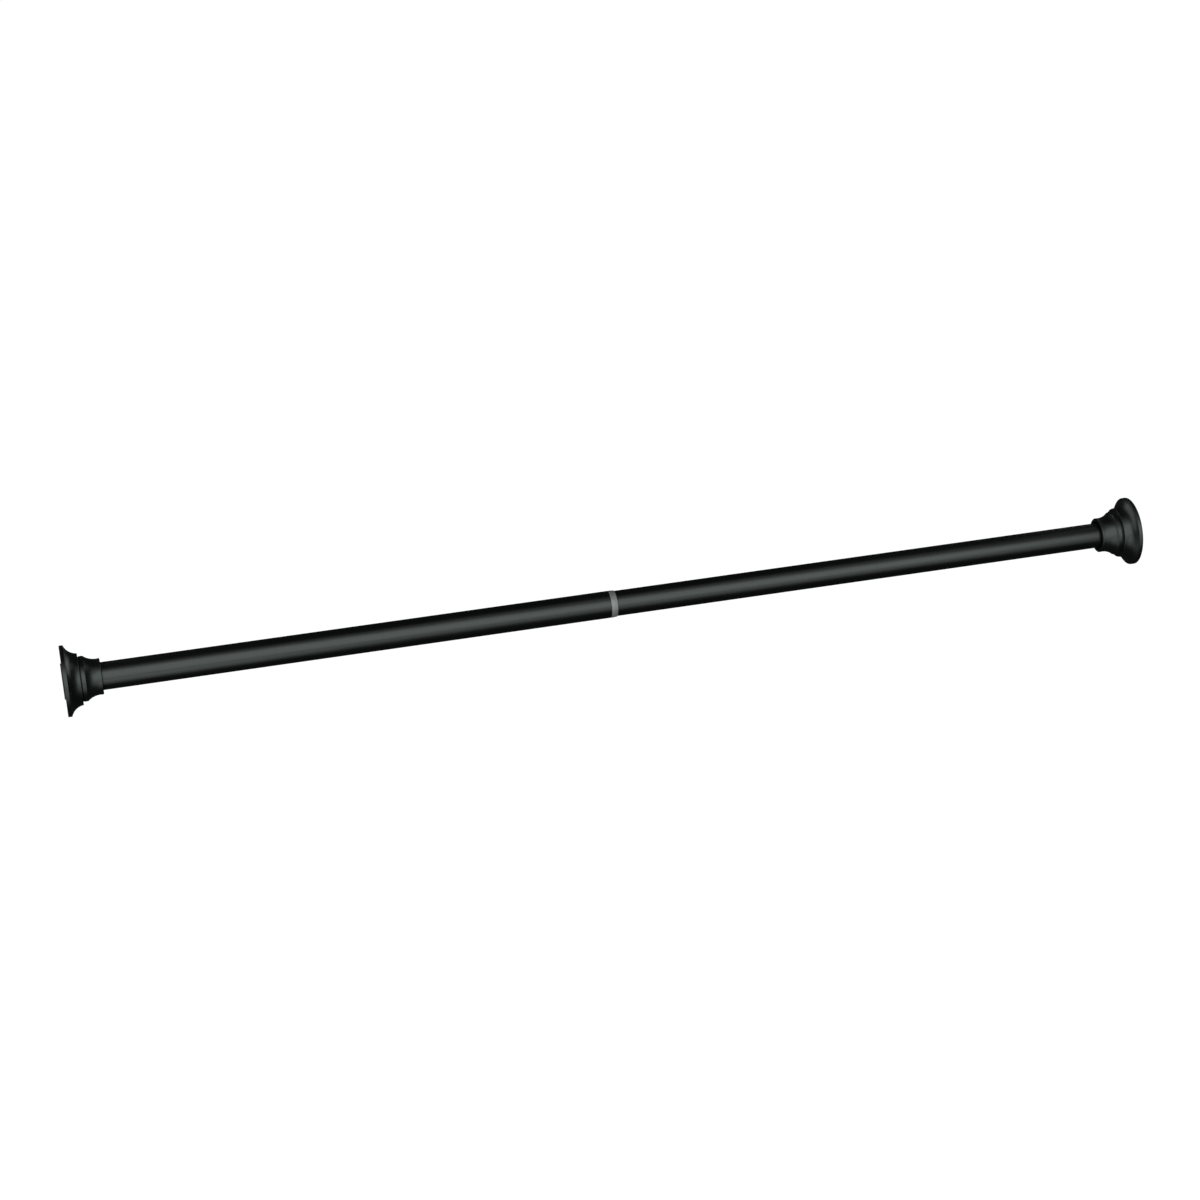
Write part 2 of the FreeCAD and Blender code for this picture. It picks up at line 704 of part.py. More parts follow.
def make_pieces(doc, sizes):
    """Every piece, set in its place along the rod."""
    tube_start = sizes.pad_thickness + sizes.plug_flange
    ring_shoulder = sizes.outer_section_length - sizes.ring_face_width
    inner_start = sizes.outer_section_length - sizes.tube_overlap
    inner_end = sizes.rod_length - tube_start
    pieces = []

    def add(body, along, flipped=False, height=None):
        place(body, along, flipped, height)
        pieces.append(body)

    # Outer section
    length = ring_shoulder - tube_start
    add(make_tube(doc, "outer_tube", sizes.outer_tube_radius, sizes.outer_tube_wall, length), tube_start)
    add(make_trim_ring(doc, sizes), ring_shoulder - sizes.ring_skirt_length)
    add(make_foot(doc, "left_foot", sizes, sizes.outer_tube_radius), ZERO)
    plug = make_end_plug(doc, "left_end_plug", sizes, sizes.outer_tube_radius, sizes.outer_bore)
    add(plug, sizes.pad_thickness)

    # Twist lock and spring, from the inner tube's mouth both ways
    washer_start = inner_start + sizes.spring_washer_setback
    spring_start = washer_start + sizes.spring_washer_thickness
    seat_start = spring_start + sizes.spring_length
    stop_start = seat_start + sizes.seat_length + sizes.face_gap
    spindle_reach = sizes.spindle_flange_width * 2 + sizes.glide_width + sizes.face_gap * 2
    spindle_start = inner_start - sizes.spring_travel - sizes.spindle_free_gap - spindle_reach
    neck = washer_start - spindle_start - spindle_reach
    hexagon = stop_start - washer_start
    pin_end = spindle_start - sizes.cam_width - sizes.face_gap * 2
    screw_start = pin_end - sizes.cam_washer_thickness - sizes.screw_head_thickness
    add(make_lock_spindle(doc, sizes, neck, hexagon), spindle_start)
    glide_start = spindle_start + sizes.spindle_flange_width + sizes.face_gap
    add(make_glide_ring(doc, sizes), glide_start)
    add(make_lock_cam(doc, sizes), pin_end + sizes.face_gap)
    hole = sizes.screw_radius + sizes.push_gap
    washer = make_washer(doc, "cam_washer", sizes.cam_washer_radius, hole, sizes.cam_washer_thickness)
    add(washer, pin_end - sizes.cam_washer_thickness, height=sizes.cam_offset)
    add(make_cam_screw(doc, sizes), screw_start, height=sizes.cam_offset)
    add(make_spring_washer(doc, sizes), washer_start)
    add(make_spring(doc, sizes), spring_start + sizes.face_gap)
    add(make_spring_seat(doc, sizes), seat_start)
    hole = sizes.thread_radius + sizes.push_gap
    washer = make_washer(doc, "stop_washer", sizes.stop_washer_radius, hole, sizes.stop_washer_thickness)
    add(washer, stop_start)
    add(make_stop_nut(doc, sizes), stop_start + sizes.stop_washer_thickness)

    # Inner section
    crimp = (seat_start + sizes.seat_length / 2 - inner_start, sizes.crimp_depth, sizes.crimp_width)
    length = inner_end - inner_start
    radius = sizes.inner_tube_radius
    add(make_tube(doc, "inner_tube", radius, sizes.inner_tube_wall, length, crimp), inner_start)
    plug = make_end_plug(doc, "right_end_plug", sizes, sizes.inner_tube_radius, sizes.inner_bore)
    add(plug, sizes.rod_length - sizes.pad_thickness, flipped=True)
    add(make_foot(doc, "right_foot", sizes, sizes.inner_tube_radius), sizes.rod_length, flipped=True)

    # Covers and their grip rings
    ring_place = (
        sizes.cap_setback
        + sizes.cap_length
        - sizes.grip_groove_setback
        - sizes.grip_groove_width
        + sizes.face_gap
    )
    add(make_cap(doc, "left_cap", sizes), sizes.cap_setback)
    add(make_grip_ring(doc, "left_grip_ring", sizes, sizes.outer_tube_radius), ring_place)
    add(make_cap(doc, "right_cap", sizes), sizes.rod_length - sizes.cap_setback, flipped=True)
    ring = make_grip_ring(doc, "right_grip_ring", sizes, sizes.inner_tube_radius)
    add(ring, sizes.rod_length - ring_place, flipped=True)
    return pieces


def check(doc, pieces):
    """Stop unless every object worked and every piece is one valid solid."""
    for thing in doc.Objects:
        if "Invalid" in thing.State or "Error" in thing.State:
            raise RuntimeError(f"{thing.Name} failed: {thing.State}")
    for body in pieces:
        shape = body.Shape
        if shape.isNull() or not shape.isValid() or len(shape.Solids) != 1:
            raise RuntimeError(f"{body.Label} isn't one valid solid")


doc = FreeCAD.newDocument("tension_rod")
sizes = write_sheet(doc)
pieces = make_pieces(doc, sizes)
doc.recompute()
check(doc, pieces)
os.makedirs("parts", exist_ok=True)
for body in pieces:
    body.Shape.exportStep(f"parts/{body.Label}.step")
    box = body.Shape.optimalBoundingBox()
    print(f"{body.Label}: x {box.XMin:.2f} to {box.XMax:.2f}, volume {body.Shape.Volume:.1f} mm3")
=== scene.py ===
"""The looks of a spring tension rod: black tubes and covers, a grey mouth ring and the works inside."""

import json
import math

import bmesh
import bpy
from mathutils import Matrix, Vector


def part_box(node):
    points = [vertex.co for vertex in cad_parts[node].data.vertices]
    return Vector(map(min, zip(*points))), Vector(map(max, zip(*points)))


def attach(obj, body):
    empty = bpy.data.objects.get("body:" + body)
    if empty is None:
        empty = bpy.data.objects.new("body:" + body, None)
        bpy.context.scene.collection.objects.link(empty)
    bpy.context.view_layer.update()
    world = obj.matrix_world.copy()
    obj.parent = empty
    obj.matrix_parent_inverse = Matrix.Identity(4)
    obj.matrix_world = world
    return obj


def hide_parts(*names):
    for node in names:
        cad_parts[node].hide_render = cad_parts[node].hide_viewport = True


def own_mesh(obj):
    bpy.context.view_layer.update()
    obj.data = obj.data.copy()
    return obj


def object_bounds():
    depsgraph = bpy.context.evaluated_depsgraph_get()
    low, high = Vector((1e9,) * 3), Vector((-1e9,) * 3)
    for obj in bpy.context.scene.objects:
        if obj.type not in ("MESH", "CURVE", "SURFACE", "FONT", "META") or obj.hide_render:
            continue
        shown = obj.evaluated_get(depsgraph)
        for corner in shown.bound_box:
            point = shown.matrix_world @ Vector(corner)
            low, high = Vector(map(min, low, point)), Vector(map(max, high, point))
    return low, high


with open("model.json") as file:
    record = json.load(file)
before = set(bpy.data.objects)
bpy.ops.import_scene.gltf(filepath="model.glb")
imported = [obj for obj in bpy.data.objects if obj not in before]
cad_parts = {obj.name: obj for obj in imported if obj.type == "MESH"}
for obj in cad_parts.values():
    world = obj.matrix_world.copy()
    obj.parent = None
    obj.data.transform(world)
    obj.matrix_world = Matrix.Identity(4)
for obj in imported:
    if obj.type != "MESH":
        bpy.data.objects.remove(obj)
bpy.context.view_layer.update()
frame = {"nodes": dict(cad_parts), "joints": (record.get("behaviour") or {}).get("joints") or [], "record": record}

MM = 0.001

# The photograph's view
CAMERA_PLACE = Vector((0.00086, -1.99042, 1.41861))
CAMERA_AZIMUTH = 13.971
CAMERA_ELEVATION = 34.549
CAMERA_LENS = 80.264
CAMERA_SENSOR = 36.0

# Segments round a turned piece, and steps along its rounded corners and arcs
COVER_SEGMENTS = 192
TUBE_SEGMENTS = 128
CORNER_STEPS = 4
COVE_STEPS = 20

# Share of an outline's side that a rounded corner may take
CORNER_REACH = 0.48

# Edges sharper than this are shaded sharp
SHARP_ANGLE = 38.0

# Thin steel tube, in millimetres
OUTER_WALL = 0.4
INNER_WALL = 0.5
TUBE_EDGE = 0.12
CRIMP_DEPTH = 0.35
CRIMP_WIDTH = 2.0

# Mouth ring
RING_FACE = 5.8
RING_BAND = 2.0
RING_TAPER = 0.3
RING_SKIRT_RADIUS = 12.25
RING_BORE = 11.98
RING_EDGE = 0.15

# Rubber foot
PAD_THICKNESS = 3.2
PAD_EDGE = 0.7
PAD_BACK_EDGE = 0.4
GROOVE_WIDTH = 1.4
GROOVE_DEPTH = 0.7
GROOVE_PITCH = 3.6
GROOVE_START = 3.4
GROOVE_COUNT = 3
GROOVE_EDGE = 0.15
SKIRT_WALL = 1.5
SKIRT_GAP = 0.05

# Cover section
COVER_WALL = 2.4
RIM_WIDTH = 3.7
RIM_EDGE = 0.5
RIM_RISE = 0.7
COVE_RADIUS = 13.1
STEP_ALONG = 15.1
STEP_RADIUS = 23.6
STEP_EDGE = 0.9
JOINT_WIDTH = 1.0
JOINT_DEPTH = 0.8
BAND_RADIUS = 20.65
BAND_WIDTH = 4.4
BAND_EDGE = 0.3
SMALL_COVE_RADIUS = 17.5
COLLAR_END_RADIUS = 16.5
COLLAR_EDGE = 1.0
COLLAR_BORE = 13.3
COLLAR_LENGTH = 12.0
COLLAR_MOUTH_WALL = 3.8
GRIP_GROOVE_RADIUS = 14.9
GRIP_GROOVE_WIDTH = 5.0
GRIP_GROOVE_SETBACK = 3.4
COVER_LIP = 1.6
MOULD_EDGE = 0.25
RIB_COUNT = 8
RIB_THICKNESS = 1.6
RIB_EDGE = 0.2

# Spring: the radii of its wire and its coil, its pitch, and how far its end turns close up
SPRING_WIRE = 0.9
SPRING_COIL = 9.4
SPRING_PITCH = 5.2
SPRING_CLOSED = 0.55
SPRING_SIDES = 16

# Thread of the spindle, past its nut
THREAD_RADIUS = 3.0
THREAD_HEIGHT = 0.3
THREAD_PITCH = 1.0
THREAD_LENGTH = 3.6
THREAD_SIDES = 6

# Steps in one turn of the spring or the thread
TURN_STEPS = 48

# Height of the fine relief of each kind of surface, in millimetres
COAT_RELIEF = 0.012
MOULD_RELIEF = 0.006
RUBBER_RELIEF = 0.03
NYLON_RELIEF = 0.01
STEEL_RELIEF = 0.008

# Sockets of the node that mixes colours
MIX_LOW = 6
MIX_HIGH = 7
MIX_RESULT = 2

# The faint green cast of the black finishes where they shine
COAT_TINT = (0.90, 1.0, 0.968, 1.0)
MOULDING_TINT = (0.86, 1.0, 0.955, 1.0)


class Wire:
    """A node's output, so that sums on it are written as Python expressions."""

    def __init__(self, maker, socket):
        self.maker = maker
        self.socket = socket

    def sum(self, operation, first, second=0.0):
        return self.maker.node("ShaderNodeMath", {"operation": operation}, {0: first, 1: second})

    def __add__(self, other):
        return self.sum("ADD", self, other)

    def __radd__(self, other):
        return self.sum("ADD", other, self)

    def __sub__(self, other):
        return self.sum("SUBTRACT", self, other)

    def __rsub__(self, other):
        return self.sum("SUBTRACT", other, self)

    def __mul__(self, other):
        return self.sum("MULTIPLY", self, other)

    def __truediv__(self, other):
        return self.sum("DIVIDE", self, other)

    def sine(self):
        return self.sum("SINE", self)

    def cosine(self):
        return self.sum("COSINE", self)


class NodeMaker:
    """Makes and links the nodes of one tree."""

    def __init__(self, tree):
        self.tree = tree

    def node(self, kind, settings=None, inputs=None, output=0):
        """A node with its settings and its sockets, by name or number. A list links several wires."""
        made = self.tree.nodes.new(kind)
        for name, value in (settings or {}).items():
            setattr(made, name, value)
        for name, given in (inputs or {}).items():
            for value in given if isinstance(given, list) else [given]:
                if isinstance(value, Wire):
                    self.tree.links.new(value.socket, made.inputs[name])
                else:
                    made.inputs[name].default_value = value
        return Wire(self, made.outputs[output]) if len(made.outputs) else made


class Finish(NodeMaker):
    """The nodes of a material, or of the world."""

    def __init__(self, holder):
        holder.use_nodes = True
        super().__init__(holder.node_tree)
        self.tree.nodes.clear()
        self.holder = holder

    def place(self, stretch=(1.0, 1.0, 1.0)):
        """The surface's place on the rod, in metres, stretched along its axes."""
        spot = self.node("ShaderNodeTexCoord", output="Object")
        return self.node("ShaderNodeMapping", inputs={"Vector": spot, "Scale": stretch})

    def noise(self, scale, detail=2.0, roughness=0.5, stretch=(1.0, 1.0, 1.0)):
        sockets = {"Vector": self.place(stretch), "Scale": scale}
        sockets.update({"Detail": detail, "Roughness": roughness})
        return self.node("ShaderNodeTexNoise", inputs=sockets)

    def tint(self, factor, low, high):
        """One colour turning into another with the factor."""
        sockets = {0: factor, MIX_LOW: (*low, 1.0), MIX_HIGH: (*high, 1.0)}
        return self.node("ShaderNodeMix", {"data_type": "RGBA"}, sockets, output=MIX_RESULT)

    def bump(self, height, relief):
        """A bumpy normal, its relief in millimetres."""
        sockets = {"Height": height, "Distance": relief * MM, "Strength": 1.0}
        return self.node("ShaderNodeBump", inputs=sockets)

    def surface(self, colour, roughness, normal, **fixed):
        """The last node of a material. What is fixed is set on the shader's own sockets."""
        sockets = {"Base Color": colour, "Roughness": roughness, "Normal": normal}
        sockets.update({name.replace("_", " "): value for name, value in fixed.items()})
        shader = self.node("ShaderNodeBsdfPrincipled", inputs=sockets)
        self.node("ShaderNodeOutputMaterial", inputs={"Surface": shader})
        return self.holder


def new_finish(name):
    return Finish(bpy.data.materials.new(name))


def coated_steel():
    """Satin black powder coat: a faint orange peel, and long soft streaks from drawing the tube."""
    coat = new_finish("satin_black_coat")
    peel = coat.noise(700.0, detail=3.0)
    streaks = coat.noise(260.0, detail=3.0, stretch=(0.02, 1.0, 1.0))
    clouds = coat.noise(24.0, detail=3.0)
    colour = coat.tint(clouds, (0.0006, 0.0009, 0.0008), (0.0012, 0.0016, 0.0015))
    roughness = 0.23 + clouds * 0.06 + streaks * 0.05 + peel * 0.03
    normal = coat.bump(peel, COAT_RELIEF)
    return coat.surface(colour, roughness, normal, IOR=1.5, Specular_Tint=COAT_TINT)


def cover_plastic():
    """Satin black moulding with the fine spark-eroded grain of its mould."""
    cover = new_finish("satin_black_moulding")
    grain = cover.noise(2600.0, detail=2.0)
    flow = cover.noise(60.0, detail=4.0)
    colour = cover.tint(flow, (0.0010, 0.0012, 0.0011), (0.0022, 0.0026, 0.0024))
    roughness = 0.26 + flow * 0.08 + grain * 0.06
    normal = cover.bump(grain, MOULD_RELIEF)
    return cover.surface(colour, roughness, normal, IOR=1.5, Specular_Tint=MOULDING_TINT)


def grey_plastic():
    """Satin mid-grey moulding, with a fine grain and faint turning marks from its mould."""
    ring = new_finish("satin_grey_moulding")
    grain = ring.noise(2400.0, detail=2.0)
    marks = ring.noise(1500.0, detail=2.0, stretch=(1.0, 0.02, 0.02))
    flow = ring.noise(80.0, detail=3.0)
    colour = ring.tint(flow, (0.153, 0.165, 0.163), (0.179, 0.192, 0.190))
    roughness = 0.42 + flow * 0.10 + marks * 0.08
    normal = ring.bump(grain + marks, MOULD_RELIEF)
    return ring.surface(colour, roughness, normal, IOR=1.46, Metallic=0.45)


def black_rubber(name, bloom):
    """Matt black rubber: a pebbled skin and a little pale bloom."""
    rubber = new_finish(name)
    pebbles = rubber.noise(1900.0, detail=3.0)
    bloomed = rubber.noise(90.0, detail=5.0, roughness=0.6)
    colour = rubber.tint(bloomed, (0.006, 0.0065, 0.0065), (bloom, bloom, bloom))
    roughness = 0.66 + bloomed * 0.16 + pebbles * 0.06
    return rubber.surface(colour, roughness, rubber.bump(pebbles, RUBBER_RELIEF), IOR=1.5)


def nylon(name, low, high):
    """Natural nylon: creamy, a little see-through, with flow lines."""
    part = new_finish(name)
    flow = part.noise(110.0, detail=4.0, stretch=(0.3, 1.0, 1.0))
    grain = part.noise(1800.0, detail=2.0)
    colour = part.tint(flow, low, high)
    roughness = 0.36 + flow * 0.14 + grain * 0.06
    normal = part.bump(grain, NYLON_RELIEF)
    return part.surface(colour, roughness, normal, IOR=1.53, Subsurface_Weight=0.12)


def plated_steel():
    """Bright zinc plate with fine turning marks."""
    steel = new_finish("bright_zinc_plate")
    marks = steel.noise(2200.0, detail=2.0, stretch=(1.0, 0.05, 0.05))
    clouds = steel.noise(300.0, detail=4.0)
    colour = steel.tint(clouds, (0.50, 0.52, 0.54), (0.62, 0.63, 0.64))
    roughness = 0.22 + clouds * 0.14 + marks * 0.10
    return steel.surface(colour, roughness, steel.bump(marks, STEEL_RELIEF), Metallic=1.0)


def spring_steel():
    """Oiled dark spring wire with lengthwise drawing marks."""
    wire = new_finish("oiled_spring_wire")
    clouds = wire.noise(420.0, detail=4.0)
    specks = wire.noise(2600.0, detail=2.0)
    colour = wire.tint(clouds, (0.20, 0.20, 0.21), (0.36, 0.35, 0.34))
    roughness = 0.28 + clouds * 0.14 + specks * 0.06
    return wire.surface(colour, roughness, wire.bump(specks, STEEL_RELIEF), Metallic=1.0)


# Outlines and turned pieces


def arc_points(start, end, radius, side, steps):
    """Points between start and end on an arc that bulges to the left (1) or right (-1) of its run."""
    chord = end - start
    half = chord.length / 2
    rise = math.sqrt(radius * radius - half * half)
    left = Vector((-chord.y, chord.x)).normalized()
    centre = (start + end) / 2 - left * side * rise
    first = start - centre
    whole = -side * 2 * math.asin(half / radius)
    points = []
    for step in range(1, steps):
        turn = whole * step / steps
        cosine, sine = math.cos(turn), math.sin(turn)
        along = first.x * cosine - first.y * sine
        out = first.x * sine + first.y * cosine
        points.append(centre + Vector((along, out)))
    return points


class Outline:
    """A section in millimetres: distances along the rod and out from its axis."""

    def __init__(self):
        self.corners = []

    def to(self, along, out, rounding=0.0):
        self.corners.append((Vector((along, out)), rounding))

    def arc_to(self, along, out, radius, side, rounding=0.0):
        end = Vector((along, out))
        for point in arc_points(self.corners[-1][0], end, radius, side, COVE_STEPS):
            self.corners.append((point, 0.0))
        self.corners.append((end, rounding))

    def points(self, closed):
        """The outline's points, with its corners rounded."""
        made = []
        count = len(self.corners)
        for index, (corner, rounding) in enumerate(self.corners):
            last = not closed and index in (0, count - 1)
            if rounding == 0.0 or last:
                made.append(corner)
                continue
            before = self.corners[index - 1][0] - corner
            after = self.corners[(index + 1) % count][0] - corner
            bend = math.pi - before.angle(after)
            room = min(before.length, after.length) * CORNER_REACH
            reach = min(rounding * math.tan(bend / 2), room)
            start = corner + before.normalized() * reach
            end = corner + after.normalized() * reach
            radius = reach / math.tan(bend / 2)
            side = 1 if before.x * after.y - before.y * after.x > 0 else -1
            made.append(start)
            made += arc_points(start, end, radius, side, CORNER_STEPS)
            made.append(end)
        return made


def turned(name, outline, segments, start, facing=1, closed=True):
    """Turn an outline about the rod's axis. Facing -1 points the piece to the left."""
    mesh = bmesh.new()
    rings = []
    for point in outline.points(closed):
        along = start + facing * point.x * MM
        if point.y == 0:
            rings.append([mesh.verts.new((along, 0, 0))])
            continue
        out = point.y * MM
        angles = [math.tau * k / segments for k in range(segments)]
        rings.append([mesh.verts.new((along, out * math.cos(a), out * math.sin(a))) for a in angles])
    pairs = list(zip(rings, rings[1:]))
    if closed:
        pairs.append((rings[-1], rings[0]))
    for first, second in pairs:
        for k in range(segments):
            after = (k + 1) % segments
            if len(first) == 1 and len(second) == 1:
                break
            if len(first) == 1:
                mesh.faces.new((first[0], second[k], second[after]))
            elif len(second) == 1:
                mesh.faces.new((first[k], second[0], first[after]))
            else:
                mesh.faces.new((first[k], second[k], second[after], first[after]))
    return finished_mesh(name, mesh)


def finished_mesh(name, mesh):
    """An object at the origin from a bmesh, its faces outwards and its soft edges smooth."""
    bmesh.ops.recalc_face_normals(mesh, faces=mesh.faces)
    data = bpy.data.meshes.new(name)
    mesh.to_mesh(data)
    mesh.free()
    shade(data)
    piece = bpy.data.objects.new(name, data)
    bpy.context.scene.collection.objects.link(piece)
    return piece


def shade(data):
    data.polygons.foreach_set("use_smooth", [True] * len(data.polygons))
    data.set_sharp_from_angle(angle=math.radians(SHARP_ANGLE))


def dress(piece, body, slot, *nodes):
    """Give a piece its finish and its body, and let it stand for the CAD nodes."""
    piece.data.materials.clear()
    piece.data.materials.append(FINISHES[slot])
    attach(piece, body)
    if nodes:
        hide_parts(*nodes)


def ends(node):
    """Where a node starts and ends along the rod, in metres."""
    low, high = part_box(node)
    return low.x, high.x


def radius_of(node):
    """The radius of a round node, in millimetres."""
    _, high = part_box(node)
    return round(high.y / MM, 1)


# Tubes and mouth ring


def make_outer_tube():
    start, end = ends("outer_tube")
    radius = radius_of("outer_tube")
    length = (end - start) / MM
    section = Outline()
    section.to(0, radius - OUTER_WALL, TUBE_EDGE)
    section.to(0, radius, TUBE_EDGE)
    section.to(length, radius, TUBE_EDGE)
    section.to(length, radius - OUTER_WALL, TUBE_EDGE)
    coat = turned("outer_tube_coat", section, TUBE_SEGMENTS, start)
    dress(coat, "outer_section", "coated_steel", "outer_tube")


def make_inner_tube():
    """The inner tube, with the rolled crimp that holds the spring seat."""
    start, end = ends("inner_tube")
    radius = radius_of("inner_tube")
    bore = radius - INNER_WALL
    length = (end - start) / MM
    seat_start, seat_end = ends("spring_seat")
    middle = ((seat_start + seat_end) / 2 - start) / MM
    half = CRIMP_WIDTH / 2
    crimp = [(-CRIMP_WIDTH, 0), (-half, CRIMP_DEPTH), (half, CRIMP_DEPTH), (CRIMP_WIDTH, 0)]
    section = Outline()
    section.to(0, bore, TUBE_EDGE)
    section.to(0, radius, TUBE_EDGE)
    for shift, depth in crimp:
        section.to(middle + shift, radius - depth, CRIMP_WIDTH)
    section.to(length, radius, TUBE_EDGE)
    section.to(length, bore, TUBE_EDGE)
    for shift, depth in reversed(crimp):
        section.to(middle + shift, bore - depth, CRIMP_WIDTH)
    coat = turned("inner_tube_coat", section, TUBE_SEGMENTS, start)
    dress(coat, "inner_section", "coated_steel", "inner_tube")


def make_mouth_ring():
    start, end = ends("trim_ring")
    radius = radius_of("outer_tube")
    nose = (end - start) / MM
    shoulder = nose - RING_FACE
    section = Outline()
    section.to(0, RING_BORE)
    section.to(0, RING_SKIRT_RADIUS)
    section.to(shoulder, RING_SKIRT_RADIUS)
    section.to(shoulder, radius, RING_EDGE)
    section.to(shoulder + RING_BAND, radius, RING_BAND)
    section.to(nose, radius - RING_TAPER, RING_EDGE)
    section.to(nose, RING_BORE, RING_EDGE)
    ring = turned("mouth_ring", section, TUBE_SEGMENTS, start)
    dress(ring, "outer_section", "grey_plastic", "trim_ring")


# Feet


def make_foot(name, node, body, tube, facing):
    """A rubber foot: a pad ringed with grooves, and a skirt over the tube's end."""
    low, high = ends(node)
    length = (high - low) / MM
    start = low if facing > 0 else high
    pad_radius = radius_of(node)
    skirt_in = radius_of(tube) + SKIRT_GAP
    skirt_out = skirt_in + SKIRT_WALL
    section = Outline()
    section.to(PAD_THICKNESS, 0)
    section.to(PAD_THICKNESS, skirt_in)
    section.to(length, skirt_in, GROOVE_EDGE)
    section.to(length, skirt_out, PAD_BACK_EDGE)
    section.to(PAD_THICKNESS, skirt_out, PAD_BACK_EDGE)
    section.to(PAD_THICKNESS, pad_radius, PAD_EDGE)
    section.to(0, pad_radius, PAD_EDGE)
    for count in reversed(range(GROOVE_COUNT)):
        inside = GROOVE_START + GROOVE_PITCH * count
        section.to(0, inside + GROOVE_WIDTH, GROOVE_EDGE)
        section.to(GROOVE_DEPTH, inside + GROOVE_WIDTH / 2, GROOVE_EDGE)
        section.to(0, inside, GROOVE_EDGE)
    section.to(0, 0)
    foot = turned(name, section, COVER_SEGMENTS, start, facing, closed=False)
    dress(foot, body, "foot_rubber", node)


# Covers


def cover_section(length, rim):
    """The cover's section: rim, big cove, step, band, small cove and collar, and the cavity."""
    bore = COLLAR_BORE
    inner_rim = rim - COVER_WALL
    cove_start = rim - RIM_RISE
    band_end = STEP_ALONG + BAND_WIDTH
    groove_end = length - GRIP_GROOVE_SETBACK
    groove_start = groove_end - GRIP_GROOVE_WIDTH
    sleeve = length - COLLAR_LENGTH
    section = Outline()
    section.to(0, inner_rim, MOULD_EDGE)
    section.to(0, rim, RIM_EDGE)
    section.to(RIM_WIDTH, rim, RIM_EDGE)
    section.to(RIM_WIDTH + RIM_EDGE / 2, cove_start, MOULD_EDGE)
    section.arc_to(STEP_ALONG - STEP_EDGE, STEP_RADIUS, COVE_RADIUS, -1, MOULD_EDGE)
    section.to(STEP_ALONG, STEP_RADIUS, STEP_EDGE)
    section.to(STEP_ALONG, BAND_RADIUS - JOINT_DEPTH, MOULD_EDGE)
    section.to(STEP_ALONG + JOINT_WIDTH, BAND_RADIUS, BAND_EDGE)
    section.to(band_end, BAND_RADIUS, BAND_EDGE)
    section.arc_to(length - COLLAR_EDGE, COLLAR_END_RADIUS, SMALL_COVE_RADIUS, -1, MOULD_EDGE)
    section.to(length, COLLAR_END_RADIUS, COLLAR_EDGE)
    section.to(length, bore, MOULD_EDGE)
    section.to(groove_end, bore)
    section.to(groove_end, GRIP_GROOVE_RADIUS)
    section.to(groove_start, GRIP_GROOVE_RADIUS)
    section.to(groove_start, bore)
    section.to(sleeve, bore, MOULD_EDGE)
    section.to(sleeve, bore + COLLAR_MOUTH_WALL, MOULD_EDGE)
    section.to(band_end - COVER_WALL, BAND_RADIUS - COVER_WALL, MOULD_EDGE)
    section.to(STEP_ALONG - COVER_WALL, BAND_RADIUS - COVER_WALL, MOULD_EDGE)
    section.to(STEP_ALONG - COVER_WALL, STEP_RADIUS - COVER_WALL, MOULD_EDGE)
    section.arc_to(COVER_LIP, inner_rim, COVE_RADIUS + COVER_WALL, 1, MOULD_EDGE)
    return section


def rib_mesh(rim):
    """One rib of the cover's cavity: a flat plate from the cove's inside to the sleeve's level."""
    half_wall = COVER_WALL / 2
    inside = BAND_RADIUS - COVER_WALL
    deep = STEP_ALONG - half_wall
    plate = Outline()
    plate.to(COVER_LIP, inside, RIB_EDGE)
    plate.to(COVER_LIP, rim - half_wall)
    plate.to(RIM_WIDTH, rim - RIM_RISE - half_wall)
    plate.arc_to(deep, STEP_RADIUS - half_wall, COVE_RADIUS + half_wall, -1)
    plate.to(deep, inside)
    mesh = bmesh.new()
    half = RIB_THICKNESS / 2 * MM
    sides = []
    for height in (-half, half):
        sides.append([mesh.verts.new((p.x * MM, p.y * MM, height)) for p in plate.points(True)])
    low, high = sides
    mesh.faces.new(low)
    mesh.faces.new(list(reversed(high)))
    for k in range(len(low)):
        after = (k + 1) % len(low)
        mesh.faces.new((low[k], low[after], high[after], high[k]))
    bmesh.ops.triangulate(mesh, faces=[f for f in mesh.faces if len(f.verts) > 4])
    return finished_mesh("cover_rib", mesh)


class Tree(NodeMaker):
    """The nodes of a Geometry Nodes tree with named inputs."""

    def __init__(self, name, inputs):
        super().__init__(bpy.data.node_groups.new(name, "GeometryNodeTree"))
        face = self.tree.interface
        face.new_socket("Geometry", in_out="OUTPUT", socket_type="NodeSocketGeometry")
        self.names = {}
        for label, kind in inputs.items():
            item = face.new_socket(label, in_out="INPUT", socket_type=kind)
            self.names[label] = item.identifier

    def __getitem__(self, label):
        return self.node("NodeGroupInput", output=label)

    def finish(self, geometry):
        """Real geometry with the tree's material, as its result."""
        real = self.node("GeometryNodeRealizeInstances", inputs={"Geometry": geometry})
        sockets = {"Geometry": real, "Material": self["Material"]}
        dressed = self.node("GeometryNodeSetMaterial", inputs=sockets)
        self.node("NodeGroupOutput", inputs={0: dressed})

    def grow(self, name, values):
        """Run the tree on an empty mesh and return its result as a plain piece."""
        seed = bpy.data.objects.new(name, bpy.data.meshes.new(name))
        bpy.context.scene.collection.objects.link(seed)
        modifier = seed.modifiers.new("grow", "NODES")
        modifier.node_group = self.tree
        for label, value in values.items():
            modifier[self.names[label]] = value
        ready = seed.evaluated_get(bpy.context.evaluated_depsgraph_get())
        data = bpy.data.meshes.new_from_object(ready)
        seed.modifiers.clear()
        bpy.data.objects.remove(seed)
        data.name = name
        piece = bpy.data.objects.new(name, data)
        bpy.context.scene.collection.objects.link(piece)
        return piece


